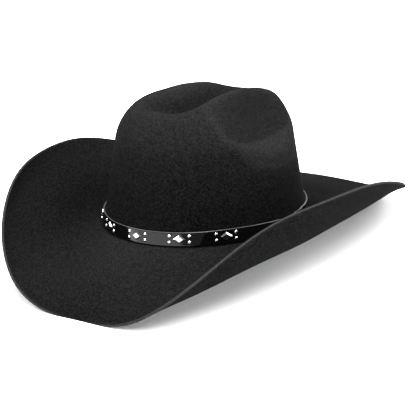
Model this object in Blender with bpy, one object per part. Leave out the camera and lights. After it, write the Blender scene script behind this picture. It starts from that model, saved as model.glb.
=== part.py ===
"""Western hat: a creased felt crown and rolled brim in one felt wall, a leather band and metal studs."""

import math

import bmesh
import bpy
import numpy as np
from mathutils import Matrix

# Felt body, in metres: half sizes at the crown's foot, heights above it, and the wall
CROWN_HALF_WIDTH = 0.094
CROWN_HALF_LENGTH = 0.1005
CROWN_HEIGHT = 0.133
WALL_HEIGHT = 0.079
FELT_THICKNESS = 0.0025
BRIM_WIDTH = 0.100
BREAK_RADIUS = 0.002
PRESSED_DEPTH = 0.002

# How far the wall leans in over its height at the front, the sides and the back
LEAN_FRONT = 0.0105
LEAN_SIDE = 0.017
LEAN_BACK = 0.0035

# The rounded top: exponents of its arcs, how its line rises to the front and the back before they
# round it off, and the share by which its front narrows
ARC_FRONT = 2.45
ARC_SIDE = 2.1
ARC_BACK = 2.25
TOP_RISE_FRONT = 0.007
TOP_RISE_BACK = 0.0065
TOP_TAPER = 0.15

# Leather band and the tab that joins its two ends
BAND_HEIGHT = 0.012
BAND_THICKNESS = 0.002
BAND_LIFT = 0.0012
BAND_EDGE = 0.0003
BAND_END_RADIUS = 0.004
BAND_GAP_LENGTH = 0.020
BAND_GAP_PLACE = 0.1525
TAB_HEIGHT = 0.009
TAB_THICKNESS = 0.001
TAB_OVERLAP = 0.010
TAB_RAMP = 0.012

# Metal studs: a lozenge with two round studs on each side of it, in groups round the front
LOZENGE_LENGTH = 0.0113
LOZENGE_HEIGHT = 0.0076
LOZENGE_THICKNESS = 0.0012
LOZENGE_RIM = 0.0004
LOZENGE_BEVEL = 0.0013
ROUND_DIAMETER = 0.003
ROUND_THICKNESS = 0.0011
ROUND_SPREAD = 0.0092
ROUND_RISE = 0.0027
GROUP_PITCH = 0.0424
GROUP_SHIFT = -0.0025
GROUPS_EACH_SIDE = 2

CLEARANCE = 0.0003

# Brim sections from the front (0 degrees) round to the back (180), alike on both sides.
# width and lift are shares of BRIM_WIDTH; root, middle and edge are slopes in degrees, up is plus.
BRIM_COLUMNS = ("angle", "width", "lift", "root", "middle", "edge")
BRIM_SECTIONS = (
    (0.0, 1.05, -0.006, -11.5, -22.5, -62.0),
    (22.5, 1.065, -0.004, -19.5, -19.5, 13.0),
    (45.0, 1.09, 0.005, -19.5, 9.0, 88.0),
    (67.5, 1.055, 0.003, -10.5, 28.0, 90.0),
    (90.0, 1.015, 0.001, -8.5, 35.5, 66.0),
    (112.5, 0.99, -0.002, -1.5, 24.5, 45.0),
    (135.0, 0.965, -0.006, -2.0, 10.0, 12.0),
    (157.5, 1.0, 0.012, -6.5, -6.5, 10.0),
    (180.0, 0.99, 0.009, -7.0, -4.5, -6.0),
)

# Folds of the crown. The crease sinks the top along the middle and the dents press both sides in.
# depth of the crease, up, above and below are shares of CROWN_HEIGHT; front, back, soft, centre and
# half_length of CROWN_HALF_LENGTH; half_width of CROWN_HALF_WIDTH; depth of the dent of the width
# there. taper narrows the crease to the back, fade thins it down the cap, and flat exponents square
# a fold off.
CREASE = {"depth": 0.295, "half_width": 0.297, "taper": -0.08, "front": -0.583, "back": 0.78, "soft": 0.093}
CREASE_FLAT = 2.8
CREASE_FADE = 1.5
DENT = {"depth": 0.34, "centre": 0.172, "half_length": 0.68, "up": 0.755, "above": 0.29, "below": 0.236}
DENT_FLAT = 1.25

# Rows and columns of the meshes
COLUMNS = 72
WALL_ROWS = 4
TOP_ROWS = 12
BREAK_ROWS = 2
BRIM_ROWS = 11
BRIM_STEPS = 4
BAND_SECTIONS = 72
END_SECTIONS = 4
TAB_SECTIONS = 9
ROUND_SIDES = 8
TILT_STEPS = 4
SHARP_DEGREES = 35.0

# Dome of a round stud, foot to top: columns are shares of its radius and of its thickness
DOME_RINGS = ((1.0, 0.0), (1.0, 0.3), (0.72, 0.8), (0.3, 1.0))

# Finishes: colour, roughness and metallic share
FELT_FINISH = ((0.018, 0.018, 0.019), 0.9, 0.0)
LEATHER_FINISH = ((0.012, 0.012, 0.013), 0.25, 0.0)
METAL_FINISH = ((0.78, 0.78, 0.76), 0.2, 1.0)

ANGLES = np.arange(COLUMNS) * 2 * math.pi / COLUMNS
BRIM = dict(zip(BRIM_COLUMNS, np.array(BRIM_SECTIONS).T))


def round_curve(values, angles):
    """Smooth closed curve, alike left and right, through a value at each brim section."""
    order = np.arange(len(values))
    series = np.linalg.solve(np.cos(np.outer(np.radians(BRIM["angle"]), order)), values)
    return np.cos(np.multiply.outer(angles, order)) @ series


def root_height(angles):
    """Height of the line where the crown meets the brim."""
    return round_curve(BRIM["lift"], angles) * BRIM_WIDTH


def outward(angles):
    """Unit normal of the crown's oval, level and pointing away from the head."""
    normal = np.stack([np.sin(angles) / CROWN_HALF_WIDTH, -np.cos(angles) / CROWN_HALF_LENGTH], -1)
    return normal / np.linalg.norm(normal, axis=-1, keepdims=True)


def blend(angles, front, side, back):
    """Value at each angle: the side's, blended to the front's and the back's by cosine squared."""
    facing = np.cos(angles)
    ahead = (front - side) * np.clip(facing, 0, 1) ** 2
    behind = (back - side) * np.clip(-facing, 0, 1) ** 2
    return side + ahead + behind


def inset(angles, height):
    """How far in the crown's side stands at a height above its foot."""
    return blend(angles, LEAN_FRONT, LEAN_SIDE, LEAN_BACK) * height / WALL_HEIGHT


def wall_point(angles, height, out=0.0):
    """Point on the crown's wall at a height above its foot, moved out by a distance."""
    step_in = inset(angles, height)
    normal = outward(angles)
    x = (CROWN_HALF_WIDTH - step_in) * np.sin(angles) + normal[..., 0] * out
    y = -(CROWN_HALF_LENGTH - step_in) * np.cos(angles) + normal[..., 1] * out
    return np.stack([x, y, root_height(angles) + height], -1)


def crown_rows(angles):
    """Outer face of the crown, a row for each height, from just above its foot to near its top."""
    low = BREAK_RADIUS + (WALL_HEIGHT - BREAK_RADIUS) * np.arange(WALL_ROWS) / WALL_ROWS
    wall = np.stack([wall_point(angles, height) for height in low])
    turn = np.arange(TOP_ROWS)[:, None] / TOP_ROWS * math.pi / 2
    power = 2 / blend(angles, ARC_FRONT, ARC_SIDE, ARC_BACK)
    across, rise = np.cos(turn) ** power, np.sin(turn) ** power
    ahead = across * np.cos(angles)
    top = CROWN_HEIGHT + TOP_RISE_FRONT * np.clip(ahead, 0, 1) ** 2
    top = top + TOP_RISE_BACK * np.clip(-ahead, 0, 1) ** 2
    height = WALL_HEIGHT + (top - WALL_HEIGHT) * rise
    step_in = inset(angles, height)
    x = (CROWN_HALF_WIDTH - step_in) * across * np.sin(angles)
    x = x * (1 - TOP_TAPER * np.clip(ahead, 0, 1) * rise ** 2)
    y = (step_in - CROWN_HALF_LENGTH) * ahead
    cap = np.stack([x, y, height + root_height(angles) * across], -1)
    return np.concatenate([wall, cap]), np.concatenate([np.zeros((WALL_ROWS, len(angles))), rise])


def fold(points, rise):
    """Sinks the centre crease and presses in the two side dents."""
    x, y, z = np.moveaxis(points, -1, 0)
    along = y / CROWN_HALF_LENGTH
    starts = 1 / (1 + np.exp((CREASE["front"] - along) / CREASE["soft"]))
    ends = 1 / (1 + np.exp((along - CREASE["back"]) / CREASE["soft"]))
    width = CREASE["half_width"] * CROWN_HALF_WIDTH * (1 - CREASE["taper"] * along)
    valley = np.exp(-np.abs(x / width) ** CREASE_FLAT)
    z = z - CREASE["depth"] * CROWN_HEIGHT * valley * starts * ends * rise ** CREASE_FADE
    reach = (along - DENT["centre"]) / DENT["half_length"]
    up = z / CROWN_HEIGHT - DENT["up"]
    up = up / np.where(up > 0, DENT["above"], DENT["below"])
    bowl = np.clip(1 - reach ** 2 - up ** 2, 0, 1) ** DENT_FLAT
    x = x * (1 - DENT["depth"] * bowl)
    return np.stack([x, y, z], -1)


def crown_pole():
    """Middle of the crown's top, in the bottom of the crease."""
    return fold(np.array([0.0, 0.0, CROWN_HEIGHT]), 1.0)


def brim_rows(angles):
    """Upper face of the brim: each section's slope runs smoothly from its root to its edge."""
    start = BREAK_RADIUS / (BRIM_WIDTH * BRIM["width"].min())
    shares = np.linspace(0, 1, BRIM_ROWS * BRIM_STEPS + 1)
    middle = (shares[1:] + shares[:-1]) / 2
    root, half, edge = (np.radians(round_curve(BRIM[key], angles)) for key in BRIM_COLUMNS[3:])
    slope = root * ((1 - middle) * (1 - 2 * middle))[:, None]
    slope = slope + half * (4 * middle * (1 - middle))[:, None]
    slope = slope + edge * (middle * (2 * middle - 1))[:, None]
    step = round_curve(BRIM["width"], angles) * BRIM_WIDTH / len(middle)
    run = np.vstack([np.zeros(len(angles)), np.cumsum(np.cos(slope) * step, 0)])
    rise = np.vstack([np.zeros(len(angles)), np.cumsum(np.sin(slope) * step, 0)])
    wanted = start + (1 - start) * np.arange(BRIM_ROWS + 1) / BRIM_ROWS
    left = np.minimum((wanted * len(middle)).astype(int), len(middle) - 1)
    part = (wanted * len(middle) - left)[:, None]
    run = run[left] * (1 - part) + run[left + 1] * part
    rise = rise[left] * (1 - part) + rise[left + 1] * part
    foot = wall_point(angles, 0.0)
    normal = outward(angles)
    x = foot[:, 0] + normal[:, 0] * run
    y = foot[:, 1] + normal[:, 1] * run
    return np.stack([x, y, foot[:, 2] + rise], -1)


def break_rows(angles, above, beside):
    """Small round corner between wall and brim, tangent to both."""
    share = (np.arange(1, BREAK_ROWS + 1) / (BREAK_ROWS + 1))[:, None, None]
    foot = wall_point(angles, 0.0)
    return above * (1 - share) ** 2 + foot * 2 * share * (1 - share) + beside * share ** 2


def felt_face(angles):
    """Outer face of the felt, rows from the crown's top to the brim's edge."""
    crown, rise = crown_rows(angles)
    crown = fold(crown, rise)
    brim = brim_rows(angles)
    corner = break_rows(angles, crown[0], brim[0])
    return np.concatenate([crown[::-1], corner, brim])


def face_normals(rows, pole):
    """Unit normals of a closed grid of rows, from the differences along and across its rows."""
    above = np.concatenate([np.broadcast_to(pole, rows[:1].shape), rows[:-1]])
    below = np.concatenate([rows[1:], rows[-1:]])
    across = np.roll(rows, -1, 1) - np.roll(rows, 1, 1)
    normal = np.cross(below - above, across)
    return normal / np.linalg.norm(normal, axis=-1, keepdims=True)


def turned(points, tilt):
    """Points turned about the X axis."""
    c, s = math.cos(tilt), math.sin(tilt)
    return points @ np.array([[1, 0, 0], [0, c, s], [0, -s, c]])


def resting_tilt(points):
    """Turn about X that brings the lowest points of the front and the back to one level."""
    tilt = 0.0
    for _ in range(TILT_STEPS):
        now = turned(points, tilt)
        front = now[now[:, 1] < 0]
        back = now[now[:, 1] > 0]
        low_front = front[front[:, 2].argmin()]
        low_back = back[back[:, 2].argmin()]
        tilt -= math.atan2(low_back[2] - low_front[2], low_back[1] - low_front[1])
    return tilt


def felt_points(angles):
    """Outer and inner face of the felt as two grids with a pole each, level with the crown's foot."""
    outer = felt_face(angles)
    pole = crown_pole()
    normals = face_normals(outer, pole)
    inner = outer - normals * FELT_THICKNESS
    inner_pole = pole - np.array([0, 0, FELT_THICKNESS])
    return outer, pole, inner, inner_pole


def resting_place(outer, inner):
    """Tilt and shift that set the hat on its brim, middle of its length and width at the origin."""
    cloud = np.concatenate([outer.reshape(-1, 3), inner.reshape(-1, 3)])
    tilt = resting_tilt(cloud)
    now = turned(cloud, tilt)
    low, high = now.min(0), now.max(0)
    shift = np.array([0.0, -(low[1] + high[1]) / 2, -low[2] - PRESSED_DEPTH])
    return tilt, shift


def stand_off(arc):
    """Gap from the wall to the band's inner face, which widens where the band runs over the tab."""
    bulge = BREAK_RADIUS * max(0.0, 1 - math.sqrt(BAND_LIFT / BREAK_RADIUS)) ** 2
    reach = BAND_GAP_LENGTH / 2 + TAB_OVERLAP + CLEARANCE
    share = np.clip((np.abs(arc - BAND_GAP_PLACE) - reach) / TAB_RAMP, 0, 1)
    over = 1 - share * share * (3 - 2 * share)
    return CLEARANCE + bulge + (TAB_THICKNESS + CLEARANCE) * over


def band_middle():
    """Height of the band's middle above the crown's foot."""
    return BAND_LIFT + BAND_HEIGHT / 2


def arc_table():
    """Angles round the crown and the length along the band from the front at each of them."""
    angles = np.linspace(-math.pi, math.pi, COLUMNS * 4 + 1)
    path = wall_point(angles, band_middle(), BAND_THICKNESS)
    length = np.concatenate([[0], np.cumsum(np.linalg.norm(np.diff(path, axis=0), axis=1))])
    return angles, length - np.interp(0.0, angles, length)


def angle_at(arc):
    """Angle round the crown at a length along the band, plus to the wearer's left."""
    angles, length = arc_table()
    loop = length[-1] - length[0]
    turns = np.floor((arc - length[0]) / loop)
    return np.interp(arc - turns * loop, length, angles) + turns * 2 * math.pi


def material(name, colour, roughness, metallic):
    """Principled material of one even finish."""
    made = bpy.data.materials.new(name)
    made.use_nodes = True
    shader = made.node_tree.nodes["Principled BSDF"]
    shader.inputs["Base Color"].default_value = (*colour, 1.0)
    shader.inputs["Roughness"].default_value = roughness
    shader.inputs["Metallic"].default_value = metallic
    return made


def add_object(name, mesh, finish):
    """Object for one piece, shaded smooth but for its sharp edges."""
    mesh.materials.append(finish)
    mesh.shade_smooth()
    mesh.set_sharp_from_angle(angle=math.radians(SHARP_DEGREES))
    piece = bpy.data.objects.new(name, mesh)
    bpy.context.scene.collection.objects.link(piece)
    return piece


def strip_faces(rows, columns):
    """Quads between neighbouring rows of a grid, closed round its columns."""
    row, column = np.meshgrid(np.arange(rows - 1), np.arange(columns), indexing="ij")
    after = (column + 1) % columns
    corners = [row * columns + column, row * columns + after]
    corners += [(row + 1) * columns + after, (row + 1) * columns + column]
    return np.stack(corners, -1).reshape(-1, 4).tolist()


def ring_faces(rows, columns):
    """Faces of stacked rings, closed by a flat face at both ends."""
    faces = strip_faces(rows, columns)
    last = (rows - 1) * columns
    faces.append(list(range(columns))[::-1])
    faces.append(list(range(last, last + columns)))
    return faces


def mesh_from(name, points, faces):
    """Mesh of the points and faces, turned outwards."""
    mesh = bpy.data.meshes.new(name)
    mesh.from_pydata(points.tolist(), [], faces)
    shape = bmesh.new()
    shape.from_mesh(mesh)
    bmesh.ops.recalc_face_normals(shape, faces=shape.faces)
    shape.to_mesh(mesh)
    shape.free()
    return mesh


def felt_body(place, finish):
    """The felt wall: outer face, edge and inner face as rows round one closed shell."""
    outer, pole, inner, inner_pole = felt_points(ANGLES)
    tilt, shift = place
    rows = np.concatenate([outer, inner[::-1]])
    count = len(rows)
    points = np.concatenate([rows.reshape(-1, 3), [pole, inner_pole]])
    points = turned(points, tilt) + shift
    points[:, 2] = np.maximum(points[:, 2], 0.0)
    faces = strip_faces(count, COLUMNS)
    last = (count - 1) * COLUMNS
    for column in range(COLUMNS):
        after = (column + 1) % COLUMNS
        faces.append([count * COLUMNS, after, column])
        faces.append([count * COLUMNS + 1, last + column, last + after])
    return add_object("felt_body", mesh_from("felt_body", points, faces), finish)


def strap(name, arcs, heights, thickness, off, place, finish):
    """Strip of leather with bevelled edges along the crown's wall, capped at both ends."""
    angles = angle_at(arcs)
    half = heights / 2
    section = (
        (0.0, half - BAND_EDGE),
        (BAND_EDGE, half),
        (thickness - BAND_EDGE, half),
        (thickness, half - BAND_EDGE),
        (thickness, BAND_EDGE - half),
        (thickness - BAND_EDGE, -half),
        (BAND_EDGE, -half),
        (0.0, BAND_EDGE - half),
    )
    rows = [wall_point(angles, band_middle() + up, off + out) for out, up in section]
    tilt, shift = place
    points = turned(np.stack(rows, 1).reshape(-1, 3), tilt) + shift
    faces = ring_faces(len(arcs), len(section))
    return add_object(name, mesh_from(name, points, faces), finish)


def hat_band(place, finish):
    """Leather band round the foot of the crown, open at the wearer's left with two rounded ends."""
    _, length = arc_table()
    loop = length[-1] - length[0]
    start = BAND_GAP_PLACE + BAND_GAP_LENGTH / 2
    end = start + loop - BAND_GAP_LENGTH
    tip = BAND_END_RADIUS * (1 - np.cos(np.arange(END_SECTIONS) / END_SECTIONS * math.pi / 2))
    run = np.linspace(start + BAND_END_RADIUS, end - BAND_END_RADIUS, BAND_SECTIONS)
    arcs = np.concatenate([start + tip, run, (end - tip)[::-1]])
    inside = np.clip(np.minimum(arcs - start, end - arcs), 0, BAND_END_RADIUS)
    corner = np.sqrt(BAND_END_RADIUS ** 2 - (BAND_END_RADIUS - inside) ** 2)
    heights = BAND_HEIGHT - 2 * (BAND_END_RADIUS - corner)
    wrapped = np.where(arcs > BAND_GAP_PLACE + loop / 2, arcs - loop, arcs)
    return strap("hat_band", arcs, heights, BAND_THICKNESS, stand_off(wrapped), place, finish)


def band_tab(place, finish):
    """Thin tab behind the two ends of the band, which joins them."""
    reach = BAND_GAP_LENGTH / 2 + TAB_OVERLAP
    arcs = np.linspace(BAND_GAP_PLACE - reach, BAND_GAP_PLACE + reach, TAB_SECTIONS)
    heights = np.full(len(arcs), TAB_HEIGHT)
    return strap("band_tab", arcs, heights, TAB_THICKNESS, CLEARANCE, place, finish)


def stud_matrix(arc, up, place):
    """Place of a stud on the band: X along the band, Z away from the crown."""
    angle = np.array([angle_at(arc)])
    off = stand_off(arc) + BAND_THICKNESS + CLEARANCE
    seat = wall_point(angle, band_middle() + up, off)[0]
    above = wall_point(angle, band_middle() + up + BAND_HEIGHT, off)[0]
    tilt, shift = place
    seat, above = turned(np.stack([seat, above]), tilt) + shift
    level = turned(np.append(outward(angle)[0], 0.0), tilt)
    y_axis = (above - seat) / np.linalg.norm(above - seat)
    x_axis = np.cross(y_axis, level)
    x_axis /= np.linalg.norm(x_axis)
    z_axis = np.cross(x_axis, y_axis)
    matrix = np.eye(4)
    matrix[:3] = np.stack([x_axis, y_axis, z_axis, seat], 1)
    return Matrix(matrix.tolist())


def lozenge_mesh():
    """Flat lozenge with a bevelled edge, base on Z zero."""
    half_length, half_height = LOZENGE_LENGTH / 2, LOZENGE_HEIGHT / 2
    slant = math.hypot(half_length, half_height)
    inset = LOZENGE_BEVEL * slant / (half_length * half_height)
    corners = np.array([[half_length, 0], [0, half_height], [-half_length, 0], [0, -half_height]])
    rings = ((1.0, 0.0), (1.0, LOZENGE_RIM), (1 - inset, LOZENGE_THICKNESS))
    points = [[*(corner * share), z] for share, z in rings for corner in corners]
    return mesh_from("lozenge", np.array(points), ring_faces(len(rings), len(corners)))


def round_mesh():
    """Low dome with a round foot, base on Z zero."""
    turn = np.arange(ROUND_SIDES) * 2 * math.pi / ROUND_SIDES
    circle = np.stack([np.cos(turn), np.sin(turn)], -1) * ROUND_DIAMETER / 2
    points = [[*(point * share), z * ROUND_THICKNESS] for share, z in DOME_RINGS for point in circle]
    return mesh_from("round_stud", np.array(points), ring_faces(len(DOME_RINGS), ROUND_SIDES))


def stud(name, mesh, arc, up, place):
    """One stud on the band, sharing its mesh with its like."""
    piece = bpy.data.objects.new(name, mesh)
    piece.matrix_world = stud_matrix(arc, up, place)
    bpy.context.scene.collection.objects.link(piece)
    return piece


def band_studs(place, finish):
    """Groups of a lozenge and four round studs, spaced evenly round the front."""
    lozenge, dome = lozenge_mesh(), round_mesh()
    for mesh in (lozenge, dome):
        mesh.materials.append(finish)
        mesh.shade_smooth()
        mesh.set_sharp_from_angle(angle=math.radians(SHARP_DEGREES))
    for group in range(-GROUPS_EACH_SIDE, GROUPS_EACH_SIDE + 1):
        number = group + GROUPS_EACH_SIDE + 1
        middle = GROUP_SHIFT + group * GROUP_PITCH
        stud(f"lozenge_stud_{number}", lozenge, middle, 0.0, place)
        for side, sign in (("right", -1), ("left", 1)):
            for level, rise in (("upper", ROUND_RISE), ("lower", -ROUND_RISE)):
                name = f"round_stud_{number}_{side}_{level}"
                stud(name, dome, middle + sign * ROUND_SPREAD, rise, place)


def main():
    for old in list(bpy.data.objects):
        bpy.data.objects.remove(old, do_unlink=True)
    felt = material("black_felt", *FELT_FINISH)
    leather = material("black_leather", *LEATHER_FINISH)
    metal = material("bright_metal", *METAL_FINISH)
    outer, _, inner, _ = felt_points(ANGLES)
    place = resting_place(outer, inner)
    felt_body(place, felt)
    hat_band(place, leather)
    band_tab(place, leather)
    band_studs(place, metal)


main()
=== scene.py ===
"""Looks of the western hat: black felt with its nap, a glossy leather band and bright metal studs.

The felt, the band, the tab and the studs are surfaces worked out from the same sizes as the solids,
with finer meshes, rounder edges and the small shapes that only show up close.
"""

import math

import bpy
import numpy as np
from mathutils import Matrix, Vector


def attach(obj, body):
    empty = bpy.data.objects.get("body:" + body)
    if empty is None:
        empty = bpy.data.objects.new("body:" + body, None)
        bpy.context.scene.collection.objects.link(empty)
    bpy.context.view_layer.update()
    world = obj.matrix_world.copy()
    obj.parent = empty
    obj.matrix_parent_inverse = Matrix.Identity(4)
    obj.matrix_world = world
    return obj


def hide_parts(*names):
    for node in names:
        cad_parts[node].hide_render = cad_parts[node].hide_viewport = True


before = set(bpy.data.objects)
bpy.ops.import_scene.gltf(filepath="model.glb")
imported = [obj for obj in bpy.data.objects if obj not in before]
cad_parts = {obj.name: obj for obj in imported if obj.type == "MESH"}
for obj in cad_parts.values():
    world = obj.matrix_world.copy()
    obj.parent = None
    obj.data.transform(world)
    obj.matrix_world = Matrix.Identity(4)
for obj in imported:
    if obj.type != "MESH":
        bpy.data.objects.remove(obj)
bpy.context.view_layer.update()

# Felt body, in metres: half sizes at the crown's foot, heights above it, and the wall
CROWN_HALF_WIDTH = 0.094
CROWN_HALF_LENGTH = 0.1005
CROWN_HEIGHT = 0.133
WALL_HEIGHT = 0.079
FELT_THICKNESS = 0.0025
BRIM_WIDTH = 0.100
BREAK_RADIUS = 0.002
PRESSED_DEPTH = 0.002
LEAN_FRONT, LEAN_SIDE, LEAN_BACK = 0.0105, 0.017, 0.0035
ARC_FRONT, ARC_SIDE, ARC_BACK = 2.45, 2.1, 2.25
TOP_RISE_FRONT, TOP_RISE_BACK, TOP_TAPER = 0.007, 0.0065, 0.15

# Leather band, the tab behind its joint, and the metal studs
BAND_HEIGHT, BAND_THICKNESS, BAND_LIFT = 0.012, 0.002, 0.0012
BAND_END_RADIUS = 0.004
BAND_GAP_LENGTH, BAND_GAP_PLACE = 0.020, 0.1525
TAB_HEIGHT, TAB_THICKNESS, TAB_OVERLAP, TAB_RAMP = 0.009, 0.001, 0.010, 0.012
LOZENGE_LENGTH, LOZENGE_HEIGHT, LOZENGE_THICKNESS = 0.0113, 0.0076, 0.0012
LOZENGE_RIM, LOZENGE_BEVEL, LOZENGE_CORNER = 0.0004, 0.0013, 0.0004
ROUND_DIAMETER, ROUND_THICKNESS = 0.003, 0.0011
ROUND_SPREAD, ROUND_RISE = 0.0092, 0.0027
GROUP_PITCH, GROUP_SHIFT, GROUPS_EACH_SIDE = 0.0424, -0.0025, 2
CLEARANCE = 0.0003

# Brim sections from the front (0 degrees) round to the back (180), alike on both sides.
# width and lift are shares of BRIM_WIDTH; root, middle and edge are slopes in degrees, up is plus.
BRIM_COLUMNS = ("angle", "width", "lift", "root", "middle", "edge")
BRIM_SECTIONS = (
    (0.0, 1.05, -0.006, -11.5, -22.5, -62.0),
    (22.5, 1.065, -0.004, -19.5, -19.5, 13.0),
    (45.0, 1.09, 0.005, -19.5, 9.0, 88.0),
    (67.5, 1.055, 0.003, -10.5, 28.0, 90.0),
    (90.0, 1.015, 0.001, -8.5, 35.5, 66.0),
    (112.5, 0.99, -0.002, -1.5, 24.5, 45.0),
    (135.0, 0.965, -0.006, -2.0, 10.0, 12.0),
    (157.5, 1.0, 0.012, -6.5, -6.5, 10.0),
    (180.0, 0.99, 0.009, -7.0, -4.5, -6.0),
)
BRIM = dict(zip(BRIM_COLUMNS, np.array(BRIM_SECTIONS).T))

# Folds of the crown, as shares of its half length (along), half width (across) and height (up),
# and the exponents of their outlines
CREASE = {
    "depth": 0.295, "half_width": 0.297, "taper": -0.08,
    "front": -0.583, "back": 0.78, "soft": 0.093,
}
CREASE_FLAT, CREASE_FADE = 2.8, 1.5
DENT = {
    "depth": 0.34, "centre": 0.172, "half_length": 0.68,
    "up": 0.755, "above": 0.29, "below": 0.236,
}
DENT_FLAT = 1.25

# Rows and columns of the fine meshes, and of the coarse one that settles how the hat rests
COLUMNS, WALL_ROWS, TOP_ROWS, BREAK_ROWS, BRIM_ROWS, RIM_ROWS = 240, 18, 64, 5, 52, 9
COARSE = {"columns": 72, "wall": 4, "top": 12, "break": 2, "brim": 11}
BAND_STATIONS, TIP_STATIONS, TAB_STATIONS, CORNER_POINTS = 420, 10, 40, 8
DOME_SIDES, DOME_ROWS = 20, 7
TILT_STEPS = 4

# Cut edge of the felt: exponent of its half round, and over how many rows its paler tone, partly
# worn fibres and partly a painted highlight, fades
RIM_SQUARE, RIM_FADE = 0.5, 0.7

# Painted highlight on the folds: how many rows and columns off a bulge is measured, the bulge of the
# plain round wall, which doesn't count, and what a full fold has beyond it
FOLD_REACH = 4
ROUND_BULGE, FOLD_BULGE = 0.00025, 0.0006

# Painted light and shade on the felt, paler where more light falls: the most of it on the crown, its
# values from root to edge on the brim, and, as shares of the crown's height and of the brim's width,
# where it starts to rise and how far to gain 1
PAINTED_SHADING = {
    "crown": 1.4, "front_root": 1.3, "front_edge": 0.1,
    "side_root": -0.6, "side_edge": 0.4, "underside": 0.35,
}
CROWN_SHADING_START, CROWN_SHADING_SPAN = 0.25, 0.55
SIDE_SHADING_START, SIDE_SHADING_SPAN = 0.65, 0.35

# Straps: radius of their edges, at most a share of the thickness, and how far along the flats the
# points beside them lie; depth of the pale line at the edge, a painted highlight that is partly a
# paler raw edge, and where in the thickness it begins and over what share of it the line reaches
# full strength
BAND_ROUND, ROUND_SHARE, FLAT_SHARE = 0.0004, 0.35, 0.8
BAND_PALE, PALE_START, PALE_SPAN = 0.0003, 0.4, 0.3

# Studs: how far they sink into the leather, the share of the solids' bevel that the lozenges have,
# and the share of a round stud's thickness that is its upright foot
STUD_SINK, BEVEL_SHOWN, ROUND_FOOT = 0.0001, 0.8, 0.25

# Colours of the finishes; the felt's fold tone is a painted highlight, and the edge tones of the
# felt and the leather are partly painted highlights
FELT_COLOURS = {
    "dyed": (0.00064, 0.00064, 0.00066),
    "nap": (0.0124, 0.0124, 0.0127),
    "cloud": (0.0031, 0.0031, 0.0032),
    "fold": (0.0155, 0.0155, 0.0158),
    "edge": (0.0205, 0.0205, 0.0205),
}
LEATHER_COLOURS = {
    "smooth": (0.0012, 0.0012, 0.0013),
    "scuffed": (0.0030, 0.0030, 0.0032),
    "edge": (0.020, 0.0195, 0.019),
}
METAL_COLOURS = {"bright": (0.52, 0.52, 0.51), "tarnished": (0.36, 0.35, 0.34)}
FLOOR_COLOURS = {"darker": (0.90, 0.90, 0.90), "lighter": (0.93, 0.93, 0.93)}

# Studio: floor, white surroundings and soft boxes as (name, place, width and height, power)
FLOOR_SIZE, FLOOR_DROP = 8.0, 0.0002
SURROUND = 0.35
SOFT_BOXES = (
    ("top", (0.0, 0.0, 2.0), (0.9, 0.9), 158.0),
    ("left", (-1.185, -0.915, 1.2), (0.9, 0.9), 34.0),
    ("right", (1.185, 0.915, 1.2), (0.9, 0.9), 34.0),
    ("front", (0.80, -1.02, 1.5), (0.9, 0.9), 32.0),
    ("low_right", (1.593, 0.879, 0.35), (0.9, 0.6), 12.0),
    ("low_front", (1.62, -0.55, 0.40), (0.9, 0.6), 26.0),
    ("strip", (-0.52, -1.93, 0.14), (2.5, 0.24), 3.9),
)
LIT_POINT = (0.0, 0.0, 0.08)

# Camera: azimuth, elevation and roll in degrees, distance, aim right and up of the middle, and lens
CAMERA_ANGLES = (37.851, 21.97, -5.68)
CAMERA_DISTANCE = 1.5535
CAMERA_AIM = (-0.00154, 0.03576)
CAMERA_LENS = 143.31


def round_curve(values, angles):
    """Smooth closed curve: the cosine series, alike left and right, through each section."""
    order = np.arange(len(values))
    series = np.linalg.solve(np.cos(np.outer(np.radians(BRIM["angle"]), order)), values)
    return np.cos(np.multiply.outer(angles, order)) @ series


def outward(angles):
    """Level unit normal of the crown's oval: sine over half width, minus cosine over length."""
    normal = np.stack([np.sin(angles) / CROWN_HALF_WIDTH, -np.cos(angles) / CROWN_HALF_LENGTH], -1)
    return normal / np.linalg.norm(normal, axis=-1, keepdims=True)


def blend(angles, front, side, back):
    """The side's value, blended to the front's and the back's by cosine squared of the angle."""
    facing = np.cos(angles)
    ahead = (front - side) * np.clip(facing, 0, 1) ** 2
    behind = (back - side) * np.clip(-facing, 0, 1) ** 2
    return side + ahead + behind


def inset(angles, height):
    """How far in the crown's side stands: its lean grows in proportion to the height."""
    return blend(angles, LEAN_FRONT, LEAN_SIDE, LEAN_BACK) * height / WALL_HEIGHT


def wall_point(angles, height, out=0.0):
    """Point of the leaning oval wall at a height above its foot, moved out along its normal."""
    step_in = inset(angles, height)
    normal = outward(angles)
    x = (CROWN_HALF_WIDTH - step_in) * np.sin(angles) + normal[..., 0] * out
    y = -(CROWN_HALF_LENGTH - step_in) * np.cos(angles) + normal[..., 1] * out
    return np.stack([x, y, round_curve(BRIM["lift"], angles) * BRIM_WIDTH + height], -1)


def crown_rows(angles, wall_rows, top_rows):
    """Leaning wall, then a cap whose height over its reach is a superellipse, with both folds."""
    low = BREAK_RADIUS + (WALL_HEIGHT - BREAK_RADIUS) * np.arange(wall_rows)[:, None] / wall_rows
    wall = wall_point(angles[None], low)
    turn = np.arange(top_rows)[:, None] / top_rows * math.pi / 2
    power = 2 / blend(angles, ARC_FRONT, ARC_SIDE, ARC_BACK)
    across, rise = np.cos(turn) ** power, np.sin(turn) ** power
    ahead = across * np.cos(angles)
    top = CROWN_HEIGHT + TOP_RISE_FRONT * np.clip(ahead, 0, 1) ** 2
    top = top + TOP_RISE_BACK * np.clip(-ahead, 0, 1) ** 2
    height = WALL_HEIGHT + (top - WALL_HEIGHT) * rise
    step_in = inset(angles, height)
    x = (CROWN_HALF_WIDTH - step_in) * across * np.sin(angles)
    x = x * (1 - TOP_TAPER * np.clip(ahead, 0, 1) * rise ** 2)
    y = (step_in - CROWN_HALF_LENGTH) * ahead
    lift = round_curve(BRIM["lift"], angles) * BRIM_WIDTH * across
    rows = np.concatenate([wall, np.stack([x, y, height + lift], -1)])
    return fold(rows, np.concatenate([np.zeros((wall_rows, len(angles))), rise]))


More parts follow.
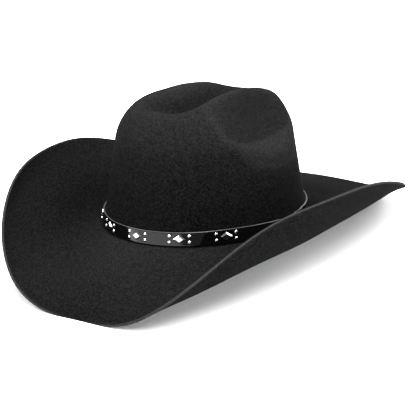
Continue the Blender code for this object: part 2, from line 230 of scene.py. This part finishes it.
def fold(points, rise):
    """Points moved by the crease and then by the two side dents.

    The crease sinks the top by a flattened bell across it, between two soft ends. The dents draw
    the sides in: x times one less a bowl, which is one less two squares, raised to a power.
    """
    x, y, z = np.moveaxis(points, -1, 0)
    along = y / CROWN_HALF_LENGTH
    starts = 1 / (1 + np.exp((CREASE["front"] - along) / CREASE["soft"]))
    ends = 1 / (1 + np.exp((along - CREASE["back"]) / CREASE["soft"]))
    width = CREASE["half_width"] * CROWN_HALF_WIDTH * (1 - CREASE["taper"] * along)
    valley = np.exp(-np.abs(x / width) ** CREASE_FLAT)
    z = z - CREASE["depth"] * CROWN_HEIGHT * valley * starts * ends * rise ** CREASE_FADE
    reach = (along - DENT["centre"]) / DENT["half_length"]
    up = z / CROWN_HEIGHT - DENT["up"]
    up = up / np.where(up > 0, DENT["above"], DENT["below"])
    x = x * (1 - DENT["depth"] * np.clip(1 - reach ** 2 - up ** 2, 0, 1) ** DENT_FLAT)
    return np.stack([x, y, z], -1)


def crown_pole():
    """Middle of the crown's top, in the bottom of the crease."""
    return fold(np.array([0.0, 0.0, CROWN_HEIGHT]), 1.0)


def brim_rows(angles, count, stop=1.0):
    """Brim: a slope, a parabola from root over middle to edge, summed along each section."""
    start = BREAK_RADIUS / (BRIM_WIDTH * BRIM["width"].min())
    shares = np.linspace(0, 1, 4 * count + 1)
    middle = (shares[1:] + shares[:-1]) / 2
    root, half, edge = (np.radians(round_curve(BRIM[key], angles)) for key in BRIM_COLUMNS[3:])
    slope = root * ((1 - middle) * (1 - 2 * middle))[:, None]
    slope = slope + half * (4 * middle * (1 - middle))[:, None]
    slope = slope + edge * (middle * (2 * middle - 1))[:, None]
    step = round_curve(BRIM["width"], angles) * BRIM_WIDTH / len(middle)
    level = np.zeros((1, len(angles)))
    run = np.concatenate([level, np.cumsum(np.cos(slope) * step, 0)])
    rise = np.concatenate([level, np.cumsum(np.sin(slope) * step, 0)])
    wanted = (start + (stop - start) * np.arange(count + 1) / count) * len(middle)
    left = np.minimum(wanted.astype(int), len(middle) - 1)
    part = (wanted - left)[:, None]
    run, rise = (line[left] * (1 - part) + line[left + 1] * part for line in (run, rise))
    foot, normal = wall_point(angles, 0.0), outward(angles)
    x, y = (foot[:, axis] + normal[:, axis] * run for axis in (0, 1))
    return np.stack([x, y, foot[:, 2] + rise], -1)


def felt_face(angles, wall, top, corner, brim, stop=1.0):
    """Upper face of the felt, from the crown's top over a small round break to the brim's edge."""
    crown = crown_rows(angles, wall, top)
    flat = brim_rows(angles, brim, stop)
    share = (np.arange(1, corner + 1) / (corner + 1))[:, None, None]
    foot = wall_point(angles, 0.0)
    bend = crown[0] * (1 - share) ** 2 + foot * 2 * share * (1 - share) + flat[0] * share ** 2
    return np.concatenate([crown[::-1], bend, flat])


def face_normals(rows, pole):
    """Unit normals of a closed grid: the cross product of the differences down and round it."""
    above = np.concatenate([np.broadcast_to(pole, rows[:1].shape), rows[:-1]])
    below = np.concatenate([rows[1:], rows[-1:]])
    normal = np.cross(below - above, np.roll(rows, -1, 1) - np.roll(rows, 1, 1))
    return normal / np.linalg.norm(normal, axis=-1, keepdims=True)


def turned(points, tilt):
    """Points turned about the X axis."""
    c, s = math.cos(tilt), math.sin(tilt)
    return points @ np.array([[1, 0, 0], [0, c, s], [0, -s, c]])


def resting_place():
    """Tilt and shift that set the lowest points, front and back, on the floor, a little pressed."""
    angles = np.arange(COARSE["columns"]) * 2 * math.pi / COARSE["columns"]
    outer = felt_face(angles, COARSE["wall"], COARSE["top"], COARSE["break"], COARSE["brim"])
    inner = outer - face_normals(outer, crown_pole()) * FELT_THICKNESS
    cloud = np.concatenate([outer.reshape(-1, 3), inner.reshape(-1, 3)])
    tilt = 0.0
    for _ in range(TILT_STEPS):
        now = turned(cloud, tilt)
        front, back = now[now[:, 1] < 0], now[now[:, 1] > 0]
        across = back[back[:, 2].argmin()] - front[front[:, 2].argmin()]
        tilt -= math.atan2(across[2], across[1])
    now = turned(cloud, tilt)
    low, high = now.min(0), now.max(0)
    return tilt, np.array([0.0, -(low[1] + high[1]) / 2, -low[2] - PRESSED_DEPTH])


TILT, SHIFT = resting_place()


def placed(points):
    """Points of the level hat as they are on the resting hat, none of them under the floor."""
    points = turned(points, TILT) + SHIFT
    points[..., 2] = np.maximum(points[..., 2], 0.0)
    return points


def new_piece(name, points, faces, finish, slot, *nodes, smooth=True):
    """Piece with its place in its mesh, which rides on the hat and stands for the CAD nodes."""
    mesh = bpy.data.meshes.new(name)
    mesh.from_pydata(points.reshape(-1, 3), [], faces)
    mesh.materials.append(finish)
    mesh.polygons.foreach_set("use_smooth", np.full(len(mesh.polygons), smooth))
    piece = bpy.data.objects.new(name, mesh)
    bpy.context.scene.collection.objects.link(piece)
    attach(piece, "root")
    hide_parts(*nodes)
    return piece


def add_mark(piece, name, values):
    """A number at each point of a piece, which its finish reads by this name."""
    mark = piece.data.attributes.new(name, "FLOAT", "POINT")
    mark.data.foreach_set("value", values.astype(np.float32))


def ring_quads(rows, columns):
    """Quads between neighbouring rings of a grid that closes round its columns."""
    row, column = np.meshgrid(np.arange(rows - 1), np.arange(columns), indexing="ij")
    after = (column + 1) % columns
    corners = [row * columns + column, row * columns + after]
    corners += [(row + 1) * columns + after, (row + 1) * columns + column]
    return np.stack(corners, -1).reshape(-1, 4).tolist()


def edge_mark(rows, first):
    """1 on the rows of the cut edge, from first on, and a bell of the distance beside them."""
    row = np.arange(rows)
    beside = np.maximum(first - row, row - (first + RIM_ROWS - 1))
    return np.exp(-(np.maximum(beside, 0) / RIM_FADE) ** 2)


def fold_highlight_mark(outer, normals):
    """How far the crown stands out from the mean of the points round it, in full folds: where the
    painted highlight of the folds goes.
    """
    beside = (np.roll(outer, -FOLD_REACH, 1) + np.roll(outer, FOLD_REACH, 1)) / 2
    above = np.concatenate([outer[:FOLD_REACH], outer[:-FOLD_REACH]])
    below = np.concatenate([outer[FOLD_REACH:], outer[-FOLD_REACH:]])
    bulge = ((outer - (beside + (above + below) / 2) / 2) * normals).sum(-1)
    bulge = np.clip((bulge - ROUND_BULGE) / FOLD_BULGE, 0, 1)
    bulge[WALL_ROWS + TOP_ROWS - 2:] = 0
    return bulge


def painted_shading_mark(outer, angles):
    """Painted light and shade on the felt: painted shade low on the crown's wall and at the root of
    the brim's sides, painted light higher up and at the root of the brim's front.

    It rises with the height on the crown, and with the share of the width on the brim's sides. At
    the brim's front it runs evenly from root to edge.
    """
    crown = outer[:WALL_ROWS + TOP_ROWS, :, 2] / CROWN_HEIGHT
    crown = np.clip((crown - CROWN_SHADING_START) / CROWN_SHADING_SPAN, 0, PAINTED_SHADING["crown"])
    share = np.linspace(0, 1, len(outer) - len(crown))[:, None]
    ahead = PAINTED_SHADING["front_root"] * (1 - share) + PAINTED_SHADING["front_edge"] * share
    sides = (share - SIDE_SHADING_START) / SIDE_SHADING_SPAN
    sides = np.clip(sides, PAINTED_SHADING["side_root"], PAINTED_SHADING["side_edge"])
    return np.concatenate([crown, blend(angles, ahead, sides, sides)])


def felt(finish):
    """Both faces of the felt wall as one closed shell, its cut edge a squared half round."""
    angles = np.arange(COLUMNS) * 2 * math.pi / COLUMNS
    stop = 1 - FELT_THICKNESS / 2 / BRIM_WIDTH
    outer = felt_face(angles, WALL_ROWS, TOP_ROWS, BREAK_ROWS, BRIM_ROWS, stop)
    pole = crown_pole()
    normals = face_normals(outer, pole)
    inner = outer - normals * FELT_THICKNESS
    middle, half = (outer[-1] + inner[-1]) / 2, (outer[-1] - inner[-1]) / 2
    onward = outer[-1] - outer[-2]
    onward *= FELT_THICKNESS / 2 / np.linalg.norm(onward, axis=-1, keepdims=True)
    turn = (np.arange(1, RIM_ROWS + 1) / (RIM_ROWS + 1) * math.pi)[:, None, None]
    across = np.sign(np.cos(turn)) * np.abs(np.cos(turn)) ** RIM_SQUARE
    edge = middle + half * across + onward * np.sin(turn) ** RIM_SQUARE
    rows = np.concatenate([outer, edge, inner[::-1]])
    under = pole - np.array([0, 0, FELT_THICKNESS])
    points = placed(np.concatenate([rows.reshape(-1, 3), [pole, under]]))
    first, last = len(rows) * COLUMNS, (len(rows) - 1) * COLUMNS
    around = np.arange(COLUMNS)
    after = (around + 1) % COLUMNS
    top = np.stack([np.full(COLUMNS, first), after, around], -1).tolist()
    roof = np.stack([np.full(COLUMNS, first + 1), last + around, last + after], -1).tolist()
    faces = ring_quads(len(rows), COLUMNS) + top + roof
    piece = new_piece("felt", points, faces, finish, "felt", "felt_body")
    # Paler cut edge of the brim: partly worn fibres, partly a painted highlight
    edges = np.repeat(edge_mark(len(rows), len(outer)), COLUMNS)
    hidden = np.ones(len(points) - outer[..., 0].size)
    add_mark(piece, "edge", np.append(edges, [0, 0]))
    # Painted highlight on the crown's convex folds; none on the inner faces
    add_mark(piece, "fold", np.append(fold_highlight_mark(outer, normals), hidden * 0))
    # Painted light and shade on the felt; the inner faces all get one even value
    add_mark(piece, "painted_shading", np.append(painted_shading_mark(outer, angles), hidden * PAINTED_SHADING["underside"]))
    return piece


def stand_off(arc):
    """Gap from the wall to the band's inner face, widening smoothly where it runs over the tab."""
    bulge = BREAK_RADIUS * max(0.0, 1 - math.sqrt(BAND_LIFT / BREAK_RADIUS)) ** 2
    reach = BAND_GAP_LENGTH / 2 + TAB_OVERLAP + CLEARANCE
    share = np.clip((np.abs(arc - BAND_GAP_PLACE) - reach) / TAB_RAMP, 0, 1)
    return CLEARANCE + bulge + (TAB_THICKNESS + CLEARANCE) * (1 - share * share * (3 - 2 * share))


BAND_MIDDLE = BAND_LIFT + BAND_HEIGHT / 2
TABLE_ANGLES = np.linspace(-math.pi, math.pi, 4 * COARSE["columns"] + 1)
TABLE_PATH = wall_point(TABLE_ANGLES, BAND_MIDDLE, BAND_THICKNESS)
TABLE_STEPS = np.linalg.norm(np.diff(TABLE_PATH, axis=0), axis=1)
TABLE_ARCS = np.concatenate([[0], np.cumsum(TABLE_STEPS)])
TABLE_ARCS = TABLE_ARCS - np.interp(0.0, TABLE_ANGLES, TABLE_ARCS)
LOOP = TABLE_ARCS[-1] - TABLE_ARCS[0]


def angle_at(arc):
    """Angle round the crown at a length along the band, plus to the wearer's left."""
    turns = np.floor((arc - TABLE_ARCS[0]) / LOOP)
    return np.interp(arc - turns * LOOP, TABLE_ARCS, TABLE_ANGLES) + turns * 2 * math.pi


def strap(name, node, arcs, heights, thickness, off, finish):
    """Strip along the crown's wall, closed at both ends, with a rounded rectangle for its section.

    Each corner is a quarter round of CORNER_POINTS points: the first and the last one are moved out
    onto the flats beside it, which keeps these flat.
    """
    radius = min(BAND_ROUND, thickness * ROUND_SHARE)
    flat = thickness / 2 - radius
    quarter = np.repeat(np.arange(4), CORNER_POINTS)
    point = np.tile(np.arange(CORNER_POINTS), 4)
    first, last = point == 0, point == CORNER_POINTS - 1
    turn = (quarter + np.clip((point - 1) / (CORNER_POINTS - 3), 0, 1)) * math.pi / 2
    side = np.where((quarter == 0) | (quarter == 3), 1, -1)
    level = np.where(quarter < 2, 1, -1)
    moved = np.where(first | last, FLAT_SHARE * flat, 0)
    upright = np.where(quarter % 2 == 0, first, last)
    out = thickness / 2 + side * (flat - np.where(upright, 0, moved)) + radius * np.cos(turn)
    up = heights[:, None] / 2 - radius - np.where(upright, moved, 0)
    up = level * up + radius * np.sin(turn)
    around = len(quarter)
    angles = np.repeat(angle_at(arcs)[:, None], around, 1)
    points = placed(wall_point(angles, BAND_MIDDLE + up, off[:, None] + out))
    tail = (len(arcs) - 1) * around
    faces = [quad[::-1] for quad in ring_quads(len(arcs), around)]
    faces += [list(range(around)), list(range(tail, tail + around))[::-1]]
    piece = new_piece(name, points, faces, finish, "leather", node)
    # Pale line along the top and bottom edges, on their outer half: a painted highlight, partly a
    # paler raw edge
    pale = np.clip((np.abs(up) - heights[:, None] / 2 + BAND_PALE) / BAND_PALE, 0, 1)
    pale = pale * np.clip((out / thickness - PALE_START) / PALE_SPAN, 0, 1)
    add_mark(piece, "edge", pale.ravel())
    return piece


def band(finish):
    """Leather band: full height along its run, quarter-round corners at its two ends."""
    start = BAND_GAP_PLACE + BAND_GAP_LENGTH / 2
    end = start + LOOP - BAND_GAP_LENGTH
    tip = np.arange(TIP_STATIONS) / TIP_STATIONS * math.pi / 2
    tip = BAND_END_RADIUS * (1 - np.cos(tip))
    run = np.linspace(start + BAND_END_RADIUS, end - BAND_END_RADIUS, BAND_STATIONS)
    arcs = np.concatenate([start + tip, run, (end - tip)[::-1]])
    inside = np.clip(np.minimum(arcs - start, end - arcs), 0, BAND_END_RADIUS)
    corner = np.sqrt(BAND_END_RADIUS ** 2 - (BAND_END_RADIUS - inside) ** 2)
    heights = BAND_HEIGHT - 2 * (BAND_END_RADIUS - corner)
    off = stand_off(np.where(arcs > BAND_GAP_PLACE + LOOP / 2, arcs - LOOP, arcs))
    return strap("band", "hat_band", arcs, heights, BAND_THICKNESS, off, finish)


def tab(finish):
    """Leather tab behind the band's joint."""
    reach = BAND_GAP_LENGTH / 2 + TAB_OVERLAP
    arcs = np.linspace(BAND_GAP_PLACE - reach, BAND_GAP_PLACE + reach, TAB_STATIONS)
    heights, off = np.full(TAB_STATIONS, TAB_HEIGHT), np.full(TAB_STATIONS, CLEARANCE)
    return strap("tab", "band_tab", arcs, heights, TAB_THICKNESS, off, finish)


def seated(points, arc, rise):
    """Points of a stud, X along the band and Z off the crown, set on the band at arc and rise."""
    angle = np.array([angle_at(arc)])
    off = stand_off(arc) + BAND_THICKNESS - STUD_SINK
    seat = wall_point(angle, BAND_MIDDLE + rise, off)[0]
    y_axis = wall_point(angle, BAND_MIDDLE + rise + BAND_HEIGHT, off)[0] - seat
    y_axis /= np.linalg.norm(y_axis)
    x_axis = np.cross(y_axis, np.append(outward(angle)[0], 0.0))
    x_axis /= np.linalg.norm(x_axis)
    return placed(points @ np.stack([x_axis, y_axis, np.cross(x_axis, y_axis)]) + seat)


def closed_rings(rings):
    """Faces of stacked rings with a flat face at both ends."""
    count, sides = rings.shape[:2]
    last = (count - 1) * sides
    ends = [list(range(sides))[::-1], list(range(last, last + sides))]
    return ring_quads(count, sides) + ends


def lozenge_rings():
    """Lozenge with cut corners: its outline upright over the rim, then drawn in by the bevel."""
    a, b = LOZENGE_LENGTH / 2, LOZENGE_HEIGHT / 2
    corners = np.array([[a, 0], [0, b], [-a, 0], [0, -b]])
    before = np.roll(corners, 1, 0) - corners
    after = np.roll(corners, -1, 0) - corners
    before *= LOZENGE_CORNER / np.linalg.norm(before, axis=-1, keepdims=True)
    after *= LOZENGE_CORNER / np.linalg.norm(after, axis=-1, keepdims=True)
    outline = [corners + before, corners + (before + after) / 4, corners + after]
    outline = np.stack(outline, 1).reshape(-1, 2)
    inset = BEVEL_SHOWN * LOZENGE_BEVEL * math.hypot(a, b) / (a * b)
    stations = np.array([(1.0, 0.0), (1.0, LOZENGE_RIM), (1 - inset, LOZENGE_THICKNESS)])
    rings = np.empty((len(stations), len(outline), 3))
    rings[..., :2] = outline * stations[:, :1, None]
    rings[..., 2] = stations[:, 1:]
    return rings


def dome_rings():
    """Dome: a quarter ellipse turned about its axis, on a short upright foot."""
    turn = np.arange(DOME_SIDES) * 2 * math.pi / DOME_SIDES
    bow = np.arange(DOME_ROWS) / DOME_ROWS * math.pi / 2
    reach = np.append(1.0, np.cos(bow)) * ROUND_DIAMETER / 2
    height = np.append(0.0, ROUND_FOOT + (1 - ROUND_FOOT) * np.sin(bow)) * ROUND_THICKNESS
    rings = np.empty((len(reach), DOME_SIDES, 3))
    rings[..., 0] = reach[:, None] * np.cos(turn)
    rings[..., 1] = reach[:, None] * np.sin(turn)
    rings[..., 2] = height[:, None]
    return rings


def studs(finish):
    """Groups of a lozenge and four round studs, spaced evenly along the band round the front."""
    lozenge, dome = lozenge_rings(), dome_rings()
    lozenge_faces, dome_faces = closed_rings(lozenge), closed_rings(dome)
    for group in range(2 * GROUPS_EACH_SIDE + 1):
        middle = GROUP_SHIFT + (group - GROUPS_EACH_SIDE) * GROUP_PITCH
        node = f"lozenge_stud_{group + 1}"
        points = seated(lozenge.reshape(-1, 3), middle, 0.0)
        new_piece(f"bright_{node}", points, lozenge_faces, finish, "metal", node, smooth=False)
        for side, across in (("right", -ROUND_SPREAD), ("left", ROUND_SPREAD)):
            for level, rise in (("upper", ROUND_RISE), ("lower", -ROUND_RISE)):
                node = f"round_stud_{group + 1}_{side}_{level}"
                points = seated(dome.reshape(-1, 3), middle + across, rise)
                new_piece(f"bright_{node}", points, dome_faces, finish, "metal", node)


class Wire:
    """A value or colour in a finish; adding or multiplying values adds Math nodes."""

    def __init__(self, finish, socket):
        self.finish = finish
        self.socket = socket

    def maths(self, operation, other):
        """This value and another, or a number, through a Math node."""
        return self.finish.node("ShaderNodeMath", {"operation": operation}, {0: self, 1: other})

    def __add__(self, other):
        return self.maths("ADD", other)

    def __mul__(self, other):
        return self.maths("MULTIPLY", other)

    __radd__ = __add__

    def between(self, low, high):
        """0 below low, 1 above high and smooth between them."""
        ends = {"Value": self, "From Min": low, "From Max": high}
        return self.finish.node("ShaderNodeMapRange", {"interpolation_type": "SMOOTHSTEP"}, ends)


class Finish:
    """A Principled material: node() adds any node, its settings first and then its sockets."""

    def __init__(self, name, **constants):
        self.material = bpy.data.materials.new(name)
        self.material.use_nodes = True
        self.tree = self.material.node_tree
        self.shader = self.tree.nodes["Principled BSDF"]
        for socket, value in constants.items():
            self.shader.inputs[socket.replace("_", " ")].default_value = value
        self.place = self.node("ShaderNodeTexCoord", output="Object")

    def feed(self, socket, value):
        """Links a wire to a socket, or sets a plain number or colour on it."""
        if isinstance(value, Wire):
            self.tree.links.new(value.socket, socket)
        else:
            socket.default_value = value

    def node(self, kind, settings=None, values=None, output=0):
        """New node of a kind; gives the wire from one of its outputs."""
        made = self.tree.nodes.new(kind)
        for key, value in (settings or {}).items():
            setattr(made, key, value)
        for key, value in (values or {}).items():
            self.feed(made.inputs[key], value)
        return Wire(self, made.outputs[output])

    def noise(self, scale, detail=2.0, roughness=0.5):
        """Cloudy noise over the piece's own coordinates, in cells per metre."""
        values = {"Vector": self.place, "Scale": scale, "Detail": detail, "Roughness": roughness}
        return self.node("ShaderNodeTexNoise", None, values)

    def cells(self, scale):
        """Rounded cells, in cells per metre."""
        return self.node("ShaderNodeTexVoronoi", None, {"Vector": self.place, "Scale": scale})

    def mark(self, name):
        """The number that add_mark set on the piece's points."""
        return self.node("ShaderNodeAttribute", {"attribute_name": name}, output="Fac")

    def mix(self, share, low, high):
        """From the low colour to the high one by a share."""
        low, high = ((*c, 1.0) if isinstance(c, tuple) else c for c in (low, high))
        return self.node("ShaderNodeMix", {"data_type": "RGBA"}, {0: share, 6: low, 7: high}, 2)

    def surface(self, colour, roughness, height=None, depth=0.0):
        """Feeds the shader: colour, roughness, and a height of 0 to 1 as a bump of that depth."""
        self.feed(self.shader.inputs["Base Color"], colour)
        self.feed(self.shader.inputs["Roughness"], roughness)
        if height is not None:
            values = {"Height": height, "Distance": depth, "Strength": 1.0}
            self.feed(self.shader.inputs["Normal"], self.node("ShaderNodeBump", None, values))
        return self.material


def black_felt():
    """Matted nap: clumps of fibres about two millimetres across over finer ones, a cloudy dye,
    painted light and shade over the crown and brim, a painted highlight on the crown's folds, and a
    paler cut edge that is partly worn fibres and partly a painted highlight.
    """
    made = Finish("black_felt", Specular_IOR_Level=0.0055, Sheen_Weight=0.0027, Sheen_Roughness=0.4)
    clumps = made.noise(500, detail=3.0, roughness=0.7)
    fibres = made.noise(950, roughness=0.6)
    clouds = made.noise(22, detail=4.0, roughness=0.55)
    nap = clumps.between(0.43, 0.63) * 0.45 + fibres.between(0.43, 0.63) * 0.55
    # Painted light and shade: the mark makes the nap paler where light falls and darker where shade
    # falls
    painted_shading, tones = made.mark("painted_shading"), FELT_COLOURS
    pale = nap * (0.5 + painted_shading * 0.12) + painted_shading * 0.13
    colour = made.mix(pale, tones["dyed"], tones["nap"])
    colour = made.mix(clouds.between(0.35, 0.7) * 0.15, colour, tones["cloud"])
    # Painted highlight on the crown's convex folds
    colour = made.mix(made.mark("fold") * (0.12 + nap * 0.38), colour, tones["fold"])
    # Paler cut edge: partly worn fibres, partly a painted highlight
    colour = made.mix(made.mark("edge") * (0.55 + nap * 0.35), colour, tones["edge"])
    return made.surface(colour, 0.82 + clumps * 0.16, clumps * 0.7 + fibres * 0.3, 0.0009)


def glossy_leather():
    """Smooth finished leather: faint pebble grain, light scuffs, and a paler, duller edge line,
    partly a raw edge and partly a painted highlight.
    """
    made = Finish("black_leather", Specular_IOR_Level=0.36)
    scuffs = made.noise(120, detail=5.0, roughness=0.6).between(0.5, 0.75)
    edge, tones = made.mark("edge"), LEATHER_COLOURS
    colour = made.mix(scuffs * 0.5, tones["smooth"], tones["scuffed"])
    # Pale edge line: a painted highlight, partly a paler raw edge
    colour = made.mix(edge * 0.8, colour, tones["edge"])
    return made.surface(colour, 0.07 + scuffs * 0.05 + edge * 0.6, made.cells(900), 0.00001)


def bright_metal():
    """Polished plated metal: fine brushing in its roughness and a little darkening in patches."""
    made = Finish("bright_metal", Metallic=1.0)
    tarnish = made.noise(700, detail=4.0, roughness=0.6).between(0.45, 0.8)
    brushing = made.noise(4200)
    colour = made.mix(tarnish * 0.5, METAL_COLOURS["bright"], METAL_COLOURS["tarnished"])
    return made.surface(colour, 0.08 + brushing * 0.05 + tarnish * 0.05, brushing, 0.000004)


def pale_floor():
    """Plain pale studio floor."""
    made = Finish("pale_floor", Specular_IOR_Level=0.1)
    colour = made.mix(made.noise(3.0), FLOOR_COLOURS["darker"], FLOOR_COLOURS["lighter"])
    corners = [(-1, -1), (1, -1), (1, 1), (-1, 1)]
    corners = [(x * FLOOR_SIZE / 2, y * FLOOR_SIZE / 2, -FLOOR_DROP) for x, y in corners]
    mesh = bpy.data.meshes.new("floor")
    mesh.from_pydata(corners, [], [(0, 1, 2, 3)])
    mesh.materials.append(made.surface(colour, 0.9))
    floor = bpy.data.objects.new("floor", mesh)
    bpy.context.scene.collection.objects.link(floor)


def soft_box(name, place, size, power):
    """Area light that faces the hat."""
    light = bpy.data.lights.new(name, "AREA")
    light.energy = power
    light.shape = "RECTANGLE"
    light.size, light.size_y = size
    lamp = bpy.data.objects.new(name, light)
    lamp.location = place
    towards = Vector(LIT_POINT) - Vector(place)
    lamp.rotation_euler = towards.to_track_quat("-Z", "Y").to_euler()
    bpy.context.scene.collection.objects.link(lamp)


def studio():
    """White surroundings and large soft boxes.

    The key one hangs overhead, and the low strip in front is what the glossy band mirrors.
    """
    world = bpy.data.worlds.new("studio")
    world.use_nodes = True
    background = world.node_tree.nodes["Background"]
    background.inputs["Color"].default_value = (1.0, 1.0, 1.0, 1.0)
    background.inputs["Strength"].default_value = SURROUND
    bpy.context.scene.world = world
    for box in SOFT_BOXES:
        soft_box(*box)


def camera():
    """Camera on a sphere round the hat, aimed beside its middle and rolled about its sight line."""
    azimuth, elevation, roll = np.radians(CAMERA_ANGLES)
    level = math.cos(elevation)
    back = np.array([math.sin(azimuth) * level, -math.cos(azimuth) * level, math.sin(elevation)])
    right = np.array([math.cos(azimuth), math.sin(azimuth), 0.0])
    place = back * CAMERA_DISTANCE
    aim = right * CAMERA_AIM[0] + np.cross(back, right) * CAMERA_AIM[1]
    eye = bpy.data.objects.new("camera", bpy.data.cameras.new("camera"))
    eye.data.lens = CAMERA_LENS
    turn = Vector(aim - place).to_track_quat("-Z", "Y").to_matrix().to_4x4()
    turn = turn @ Matrix.Rotation(roll, 4, "Z")
    turn.translation = Vector(place)
    eye.matrix_world = turn
    bpy.context.scene.collection.objects.link(eye)
    bpy.context.scene.camera = eye


def main():
    """The hat's pieces, the floor, the studio and the camera, and the Standard view transform."""
    leather, metal = glossy_leather(), bright_metal()
    felt(black_felt())
    band(leather)
    tab(leather)
    studs(metal)
    pale_floor()
    studio()
    camera()
    bpy.context.scene.view_settings.view_transform = "Standard"


main()
